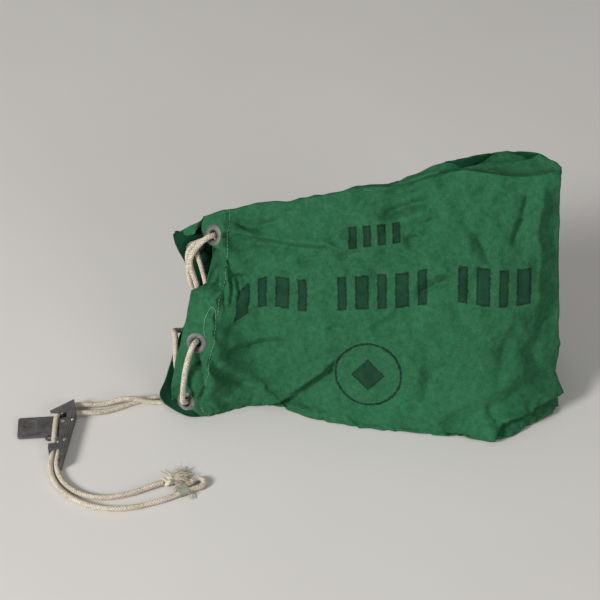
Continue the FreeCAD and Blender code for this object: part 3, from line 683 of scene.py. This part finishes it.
# Creases of the front: a line in (x, z), the fold's half width and its height, in mm,
# before sculpt() makes the upper ones narrower and deeper.
CREASES = [
    ([(-150, 199), (-134, 199), (-110, 195), (-80, 197), (-34, 198), (-14, 187)], 5, 2.6),
    ([(-146, 190), (-112, 186), (-78, 188), (-40, 189)], 7, -2.6),
    ([(-143, 212), (-111, 216), (-85, 222), (-67, 224)], 5, 1.8),
    ([(-133, 207), (-113, 205), (-94, 212)], 5, -2.8),
    ([(-154, 131), (-134, 128), (-110, 119)], 5, -3.0),
    ([(-150, 141), (-128, 139), (-104, 131)], 5, 2.0),
    ([(-158, 112), (-136, 104), (-118, 92)], 6, -2.2),
    ([(-141, 79), (-122, 77), (-104, 82), (-86, 87)], 4.5, -4.5),
    ([(-138, 88), (-120, 87), (-100, 92), (-84, 98)], 6, 3.0),
    ([(-158, 64), (-147, 51), (-133, 38)], 6, -3.5),
    ([(-150, 71), (-138, 58), (-120, 47)], 7, 2.2),
    ([(29, 232), (47, 240), (72, 249)], 7, -5.0),
    ([(20, 222), (44, 229), (74, 238)], 8, 2.5),
    ([(59, 262), (76, 268), (86, 272)], 5, -3.5),
    ([(36, 252), (55, 258)], 5, -3.0),
    ([(55, 207), (68, 208), (78, 214)], 5, -2.2),
    ([(66, 154), (81, 163), (97, 169)], 5, -3.2),
    ([(60, 163), (76, 172), (92, 178)], 6, 1.6),
    ([(112, 228), (127, 215), (139, 192)], 7, -3.0),
    ([(96, 80), (82, 72), (76, 60), (73, 44)], 7, -3.6),
    ([(87, 88), (68, 80), (62, 58)], 8, 2.0),
    ([(146, 38), (150, 27), (158, 18)], 4, -3.5),
    ([(137, 40), (141, 28), (148, 14)], 6, 2.2),
    ([(88, 20), (126, 47), (176, 68)], 9, 3.0),
    ([(98, 9), (134, 33), (180, 52)], 8, -3.5),
    ([(180, 254), (175, 232), (168, 210)], 6, -2.6),
    ([(195, 250), (192, 215), (196, 180), (192, 140)], 9, 2.4),
    ([(205, 120), (198, 90), (203, 60)], 9, -3.0),
    ([(-65, 175), (-43, 182), (-15, 185)], 5, -2.2),
    ([(-184, 71), (-177, 59), (-175, 42), (-181, 24)], 4.5, -7.0),
    ([(-168, 70), (-166, 50), (-170, 26)], 7, 3.0),
    ([(-190, 54), (-189, 38)], 8, 2.5),
    ([(-175, 168), (-160, 170), (-146, 163)], 9, -5.0),
    ([(-150, 158), (-160, 142), (-170, 128)], 5, 3.5),
    ([(-158, 152), (-168, 138)], 4, -4.0),
    ([(-152, 153), (-140, 154), (-128, 153)], 3, -3.0),
    ([(-152, 148), (-150, 128)], 3, -3.5), ([(-144, 150), (-143, 130)], 3, -3.0),
    ([(-135, 149), (-134, 132)], 3, -2.4), ([(-147, 149), (-146, 129)], 3, 2.0),
    ([(-30, 118), (0, 112), (40, 118)], 9, -1.8),
    ([(120, 120), (150, 100), (185, 92)], 10, -2.2),
    ([(-95, 150), (-60, 140), (-35, 142)], 7, -1.8),
    ([(5, 205), (25, 196), (48, 190)], 6, -1.6),
]
# Folds that overhang: a line in (x, z), and the depth and width of the hollow below it.
LEDGES = [
    ([(-116, 1), (-100, 9), (-84, 21), (-57, 46), (-41, 62)], 15, 16),
    ([(152, 4), (156, 12), (163, 19), (181, 21.5), (205, 25), (226, 26)], 17, 7),
    ([(-188, 137), (-170, 139), (-160, 141)], 5, 5),
]
# The fold along the rear of the roof, as a line in (x, y), and its depth and width.
ROOF_LEDGE = ([(120, 64), (137, 68), (160, 70), (180, 72), (196, 80)], 12, 7)
SMALL_FOLDS = 1.7           # height of the fine, irregular folds, in mm
CRUMPLES, CRUMPLES_SEED = 260, 11           # short creases over the whole sack
END_CRUMPLES, END_SEED = 25, 5              # and over the closed end
END_SUNK = 3.0              # how far the closed end is sunk in, in mm
LOW, HIGH = 90, 160         # heights between which the folds change, in mm


def crumples(places, upward, count, seed):
    """Height of short, sharp creases in every direction, in mm."""
    draw = np.random.default_rng(seed)
    height = np.zeros(len(places))
    for start in draw.integers(0, len(places), count):
        along = draw.normal(size=3)
        along -= upward[start] * (along @ upward[start])
        along /= norm(along)
        half, width = draw.uniform(9, 42), draw.uniform(2.6, 7)
        rise = draw.choice((-1, 1)) * draw.uniform(0.28, 0.56) * width
        gap = places - places[start]
        run = gap @ along
        across = gap - run[:, None] * along
        bend = across @ np.cross(along, upward[start])
        bend = bend - draw.uniform(-0.004, 0.004) * run * run
        off = np.sqrt(bend ** 2 + (across @ upward[start]) ** 2) / width
        taper = np.clip(1 - (np.abs(run) / half) ** 2, 0, 1)
        height += rise * taper * np.exp(-off * off / (0.3 + off))
    return height


def unevenness(places):
    """Height of shallow, irregular swellings with creased bottoms, in mm."""
    return SMALL_FOLDS * np.array([1 - 4 * abs(noise.fractal(Vector(p) * 0.016, 0.9, 2.1, 3))
                                   for p in places])


# The roof is narrow, so its small folds are shallow: deep ones would cross.
ROOF_CALM = 0.4
calm = np.ones(ROUND)
calm[FRONT_RIDGE - 2:REAR_RIDGE + 3] = ROOF_CALM


def sculpt(grid):
    """The grid with its placed folds, and with small creases everywhere."""
    normal = normals_of(grid)
    x, y, z = grid[..., 0], grid[..., 1], grid[..., 2]
    height = np.zeros(x.shape)
    on_front = np.zeros(x.shape)
    on_front[:, :FRONT_RIDGE + 1] = 1
    deeper = np.interp(z, (LOW, HIGH), (1.5, 2.4))
    narrower = np.interp(z, (LOW, HIGH), (1.0, 0.75))
    for line, width, rise in CREASES:
        gap = distance_to(line, x, z)[0] / (width * narrower)
        height += deeper * rise * np.exp(-gap * gap / (0.35 + gap)) * on_front
    for line, depth, width in LEDGES:
        gap, above = distance_to(line, x, z)
        height += on_front * np.where(above, 0.25 * depth * np.exp(-(gap / 9) ** 2),
                                      -depth * (1 - np.exp(-gap / 2)) * np.exp(-gap / width))
    line, depth, width = ROOF_LEDGE
    gap, behind = distance_to(line, x, y)
    on_roof = np.zeros(x.shape)
    on_roof[:, FRONT_RIDGE + 3:REAR_RIDGE - 2] = 1
    height += on_roof * np.where(behind, -depth * (1 - np.exp(-gap / 2)) * np.exp(-gap / width),
                                 0.2 * depth * np.exp(-(gap / 7) ** 2))
    places, upward = grid.reshape(-1, 3), normal.reshape(-1, 3)
    small = unevenness(places) + crumples(places, upward, CRUMPLES, CRUMPLES_SEED)
    height += small.reshape(x.shape) * calm * np.interp(z, (80, 160), (0.95, 1.4))
    keep = np.clip(z / 6, 0, 1)
    held = np.clip((lengthwise - PLAIN_LAST - 0.3) / 0.7, 0, 1)[:, None]
    return grid + normal * (height * keep * (1 - 0.3 * held))[..., None]


def sides_of(ring, front_cells, roof_cells):
    """A ring's front and back from the foot up, then its roof and base from the front."""
    rear = front_cells + roof_cells
    foot = rear + front_cells
    return (ring[:front_cells + 1], ring[rear:foot + 1][::-1], ring[front_cells:rear + 1],
            np.concatenate([ring[foot:], ring[:1]])[::-1])


def end_patch(ring, front_cells, roof_cells):
    """Rows of points that fill the closed end, between the front and the back of a ring."""
    front, back, roof, base = sides_of(ring, front_cells, roof_cells)
    u = np.linspace(0, 1, roof_cells + 1)[None, :, None]
    v = np.linspace(0, 1, front_cells + 1)[:, None, None]
    patch = ((1 - u) * front[:, None] + u * back[:, None]
             + (1 - v) * base[None] + v * roof[None]
             - (1 - u) * (1 - v) * front[0] - u * (1 - v) * back[0]
             - (1 - u) * v * front[-1] - u * v * back[-1])
    places = patch.reshape(-1, 3)
    outward = np.broadcast_to((1.0, 0.0, 0.0), places.shape)
    height = (unevenness(places)
              + crumples(places, outward, END_CRUMPLES, END_SEED)).reshape(patch.shape[:2])
    inside = np.clip(48 * u * (1 - u) * v * (1 - v), 0, 1)[..., 0]      # 0 along the rim
    patch[..., 0] += (height - END_SUNK) * inside
    return patch


def sack_mesh(grid, front_cells, roof_cells):
    """Points and faces of the whole sack; the grid's rings come first."""
    rows, around = grid.shape[:2]
    index = np.arange(rows * around).reshape(rows, around)
    after = np.roll(index, -1, axis=1)
    faces = np.stack([index[:-1], after[:-1], after[1:], index[1:]], axis=-1).reshape(-1, 4)
    patch = end_patch(grid[0], front_cells, roof_cells)
    lattice = np.full(patch.shape[:2], -1)
    sides = sides_of(index[0], front_cells, roof_cells)
    lattice[:, 0], lattice[:, -1], lattice[-1], lattice[0] = sides
    new = lattice < 0
    lattice[new] = rows * around + np.arange(new.sum())
    points = np.concatenate([grid.reshape(-1, 3), patch[new]])
    end_faces = np.stack([lattice[:-1, :-1], lattice[:-1, 1:], lattice[1:, 1:],
                          lattice[1:, :-1]], axis=-1).reshape(-1, 4)
    return points, np.concatenate([faces, end_faces]), len(end_faces)


END_FLAT = 400.0            # the closed end's place beside the rest, clear of the print


def flat_places(points, faces, end_faces):
    """Where each face corner is on the uncut cloth, in mm."""
    flat_x = surface[:, :FRONT_RIDGE + 1, 0].mean(axis=1)
    flat_y = np.concatenate([spots, [FRONT + ROOF + BACK + BASE]]) / FRONT * PANEL_HEIGHT
    flat = np.stack(np.meshgrid(flat_x, flat_y, indexing="ij"), axis=-1)
    corners = np.stack([flat[:-1, :-1], flat[:-1, 1:], flat[1:, 1:], flat[1:, :-1]], axis=2)
    end = points[faces[-end_faces:]][..., 1:3] + END_FLAT
    return np.concatenate([corners.reshape(-1, 4, 2), end])


def filled_in(values):
    """Values known on every second row and column, with those between."""
    rows = np.empty((2 * len(values) - 1,) + values.shape[1:])
    rows[::2] = values
    rows[1::2] = (values[:-1] + values[1:]) / 2
    both = np.empty((len(rows), 2 * rows.shape[1], rows.shape[2]))
    both[:, ::2] = rows
    both[:, 1::2] = (rows + np.roll(rows, -1, axis=1)) / 2
    return both


EXCESS = 0.05               # how much longer the cloth is than the shape it is held to
SIM_FRAMES = 26
FARTHEST = 7.0              # the most that the simulation may move a point, in mm
HOLD_FREE, HOLD_FOOT, HOLD_CORNER, HOLD_TOP, HOLD_MOUTH = 0.04, 0.5, 0.4, 0.3, 1.0
CLOSED_END = 130            # the closed end's folds begin here in x, in mm


def simulated(shape):
    """How far cloth that is a little too large for the shape moves from it, in mm."""
    coarse = shape[::2, ::2]
    points, faces, _ = sack_mesh(coarse, FRONT_CELLS // 2, ROOF_CELLS // 2)
    obj = piece("cloth_trial", points * MM, faces)
    hold = np.full(len(points), HOLD_FREE)
    hold[points[:, 2] < 5] = HOLD_FOOT
    hold[(points[:, 0] > CLOSED_END) & (points[:, 2] < 26)] = HOLD_CORNER
    hold[(points[:, 0] > CLOSED_END) & (points[:, 2] > 262)] = HOLD_TOP
    ring_of = np.arange(len(points)) // coarse.shape[1]
    number_of = lengthwise[::2][np.minimum(ring_of, len(coarse) - 1)]
    hold[(ring_of < len(coarse)) & (number_of > PLAIN_LAST + 1.2)] = HOLD_MOUTH
    group = obj.vertex_groups.new(name="hold")
    for level in np.unique(hold):
        group.add(np.nonzero(hold == level)[0].tolist(), float(level), "REPLACE")
    cloth = obj.modifiers.new("cloth", "CLOTH")
    for setting, value in dict(
            quality=6, mass=0.3, tension_stiffness=40, compression_stiffness=40,
            shear_stiffness=15, bending_stiffness=0.4, air_damping=1, vertex_group_mass="hold",
            pin_stiffness=1.0, shrink_min=-EXCESS).items():
        setattr(cloth.settings, setting, value)
    cloth.settings.effector_weights.gravity = 0.3
    cloth.collision_settings.use_collision = False
    cloth.point_cache.frame_end = SIM_FRAMES
    for number in range(1, SIM_FRAMES + 1):
        scene.frame_set(number)
    shown = obj.evaluated_get(bpy.context.evaluated_depsgraph_get())
    moved = np.zeros(len(points) * 3, np.float32)
    shown.data.vertices.foreach_get("co", moved)
    scene.frame_set(1)
    bpy.data.objects.remove(obj)
    step = (moved.reshape(-1, 3) / MM - points)[:coarse[..., 0].size]
    length = np.maximum(norm(step, axis=1), 1e-9)
    step = step * (FARTHEST * np.tanh(length / FARTHEST) / length)[:, None]
    return filled_in(step.reshape(coarse.shape)) * calm[None, :, None]


surface = round_corners(surface)
shaped = sculpt(surface)
shaped = shaped + simulated(shaped)
shaped[..., 2] = np.maximum(shaped[..., 2], 0.0)
points, faces, end_faces = sack_mesh(shaped, FRONT_CELLS, ROOF_CELLS)
sack = piece("sack_cloth", points * MM, faces, CLOTH)
for material in (LINING_SHADED, CLOTH, HEM_INSIDE_SHADED):    # a face's inside takes the slot after its own
    sack.data.materials.append(material)
ring_cells = np.repeat(lengthwise[:-1] >= STITCHED, ROUND)
material_of = np.zeros(len(faces), np.int32)
material_of[:len(ring_cells)][ring_cells] = 2
sack.data.polygons.foreach_set("material_index", material_of)
flat = flat_places(points, faces, end_faces)
layer = sack.data.uv_layers.new(name="flat")
layer.data.foreach_set("uv", (flat * MM).astype(np.float32).ravel())
row_of = np.full(len(points), -1)
row_of[:ROWS * ROUND] = np.repeat(np.arange(ROWS), ROUND)

# The hem's stitches, in mm: short, raised runs of thread just outside the cloth.
STITCH_LENGTH, STITCH_GAP, THREAD_RADIUS = 3.4, 1.0, 0.32
THREAD_SIDES = 6


def thread_run(vertices, faces, start, end, outward):
    """One stitch: a thin, closed, bowed tube between two points of the cloth."""
    along = end - start
    side = np.cross(along, outward)
    side = side / max(norm(side), 1e-9)
    first = len(vertices)
    for share, lift, width in ((0.0, -0.25, 0.5), (0.25, 0.5, 1.0), (0.75, 0.5, 1.0),
                               (1.0, -0.25, 0.5)):
        middle = start + along * share + outward * lift * THREAD_RADIUS
        for turn in range(THREAD_SIDES):
            angle = TAU * turn / THREAD_SIDES
            vertices.append(middle + THREAD_RADIUS * width * (math.cos(angle) * side
                                                              + math.sin(angle) * outward))
    for ring in range(3):
        base = first + ring * THREAD_SIDES
        for turn in range(THREAD_SIDES):
            a, b = base + turn, base + (turn + 1) % THREAD_SIDES
            faces.append((a, b, b + THREAD_SIDES, a + THREAD_SIDES))
    faces.append(tuple(first + turn for turn in range(THREAD_SIDES))[::-1])
    faces.append(tuple(first + 3 * THREAD_SIDES + turn for turn in range(THREAD_SIDES)))


def stitched_line(vertices, faces, line, outward, draw):
    """Stitches end to end along a line of surface points."""
    along = np.concatenate([[0], np.cumsum(norm(np.diff(line, axis=0), axis=1))])
    between = lambda rows, at: np.array([np.interp(at, along, rows[:, k]) for k in range(3)])
    at = 0.0
    while at + STITCH_LENGTH < along[-1]:
        length = STITCH_LENGTH * draw.uniform(0.85, 1.1)
        up = between(outward, at + length / 2)
        thread_run(vertices, faces, between(line, at), between(line, at + length), up / norm(up))
        at += length + STITCH_GAP


def ring_at(grid, number):
    """The line round the sack at a place between rings."""
    at = np.interp(number, lengthwise, np.arange(ROWS))
    low = min(int(at), ROWS - 2)
    return grid[low] + (grid[low + 1] - grid[low]) * (at - low)


# A loose end of the hem's thread: places between rings and round them.
LOOSE_THREAD = [(8.02, 3.62), (8.16, 3.8), (8.45, 3.84), (8.72, 3.7), (8.8, 3.48), (8.66, 3.28),
                (8.5, 3.2)]


def hem_stitches(grid):
    """The hem's line of stitches and its loose thread."""
    vertices, faces = [], []
    draw = np.random.default_rng(3)
    normal = normals_of(grid)
    whole_turn = np.arange(ROUND + 1) % ROUND
    line, outward = (ring_at(rows, STITCHED)[whole_turn] for rows in (grid, normal))
    stitched_line(vertices, faces, line, outward, draw)
    loose = smooth_through(LOOSE_THREAD, False, np.linspace(0, len(LOOSE_THREAD) - 1, 40))
    line = []
    for number, spot in loose:
        column = int(round(np.interp(spot, spots, np.arange(ROUND))))
        line.append(ring_at(grid, number)[column] + 0.9 * ring_at(normal, number)[column])
    smooth = np.array(line)
    for _ in range(4):
        smooth[1:-1] = (smooth[:-2] + 2 * smooth[1:-1] + smooth[2:]) / 4
    tube(vertices, faces, smooth, [THREAD_RADIUS] * len(smooth), THREAD_SIDES)
    return vertices, faces


# The cloth lies flat under each eyelet, and has a hole there.
FLAT_RADIUS, BLEND_RADIUS, HOLE_RADIUS, FLAT_DEPTH = 13.0, 24.0, 8.4, 16.0
near_mouth = (row_of >= 0) & (lengthwise[row_of] > PLAIN_LAST + 1.0)
centres = []
for spot, axis in EYELETS:
    centre = np.array(EYELET_RING[spot], float)
    axis = np.array(axis) / norm(axis)
    centres.append(centre)
    gap = points - centre
    height = gap @ axis
    radius = norm(gap - height[:, None] * axis, axis=1)
    share = np.clip((BLEND_RADIUS - radius) / (BLEND_RADIUS - FLAT_RADIUS), 0, 1)
    share = share * share * (3 - 2 * share) * near_mouth * (np.abs(height) < FLAT_DEPTH)
    points = points - (share * height)[:, None] * axis
sack.data.vertices.foreach_set("co", (points * MM).astype(np.float32).ravel())
sack.data.update()
thick = sack.vertex_groups.new(name="thickness")
in_hem = (row_of >= 0) & (lengthwise[row_of] >= STITCHED)
for members, share in ((in_hem, 1.0), (~in_hem, 0.5)):
    thick.add(np.nonzero(members)[0].tolist(), share, "REPLACE")
work = bmesh.new()
work.from_mesh(sack.data)
doomed = [face for face in work.faces
          if any(norm(np.array(face.calc_center_median()) / MM - centre) < HOLE_RADIUS
                 for centre in centres)]
bmesh.ops.delete(work, geom=doomed, context="FACES")
work.to_mesh(sack.data)
work.free()

solid = sack.modifiers.new("thickness", "SOLIDIFY")
solid.thickness = 2 * CLOTH_THICKNESS * MM
solid.offset = -1
solid.vertex_group = "thickness"
solid.material_offset = 1
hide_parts("front_panel", "top_panel", "back_panel", "base_panel", "end_panel",
            "mouth_hem")
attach(sack, "sack")

vertices, faces = hem_stitches(points[:ROWS * ROUND].reshape(ROWS, ROUND, 3))
stitches = piece("hem_stitches", np.array(vertices) * MM, faces, THREAD_MATERIAL)
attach(stitches, "sack")

# ---- CAD nodes that keep their shape ----
BEVELS = {"fastener_channel": 0.25, "label_holder": 0.2, "cord_lever": 0.25}   # mm
for node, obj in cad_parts.items():
    if node.startswith("eyelet"):
        material = EYELET
    elif node in ("channel_rivets", "lever_pin"):
        material = RIVET
    elif node in BEVELS or node == "lever_spring":
        material = STEEL
    else:
        continue
    obj.data.materials.clear()
    obj.data.materials.append(material)
    if node in BEVELS:
        join = obj.modifiers.new("join", "WELD")
        join.merge_threshold = 0.00001
        round_edges = obj.modifiers.new("edges", "BEVEL")
        round_edges.width = BEVELS[node] * MM
        round_edges.segments = 2
        round_edges.limit_method = "ANGLE"
        round_edges.angle_limit = math.radians(35)

# ---- light ----
world = bpy.data.worlds.new("world")
scene.world = world
world.use_nodes = True
background = world.node_tree.nodes["Background"]
background.inputs["Color"].default_value = (0.97, 0.98, 1.0, 1)
background.inputs["Strength"].default_value = 0.22


def softbox(name, place, aim, size, power):
    """A rectangular area light, its size in metres and its power in watts."""
    data = bpy.data.lights.new(name, "AREA")
    data.shape = "RECTANGLE"
    data.size, data.size_y = size
    data.energy = power
    light = added(name, data)
    light.location = place
    light.rotation_euler = (Vector(aim) - Vector(place)).to_track_quat("-Z", "Y").to_euler()


softbox("key", (-2.75, -2.05, 1.95), (0, 0, 0.1), (1.0, 1.0), 132)
softbox("fill", (1.5, -1.9, 1.2), (0, 0, 0.1), (1.2, 1.0), 15)
softbox("top", (0.1, 0.9, 2.0), (0, 0.3, 0), (1.6, 1.2), 4)
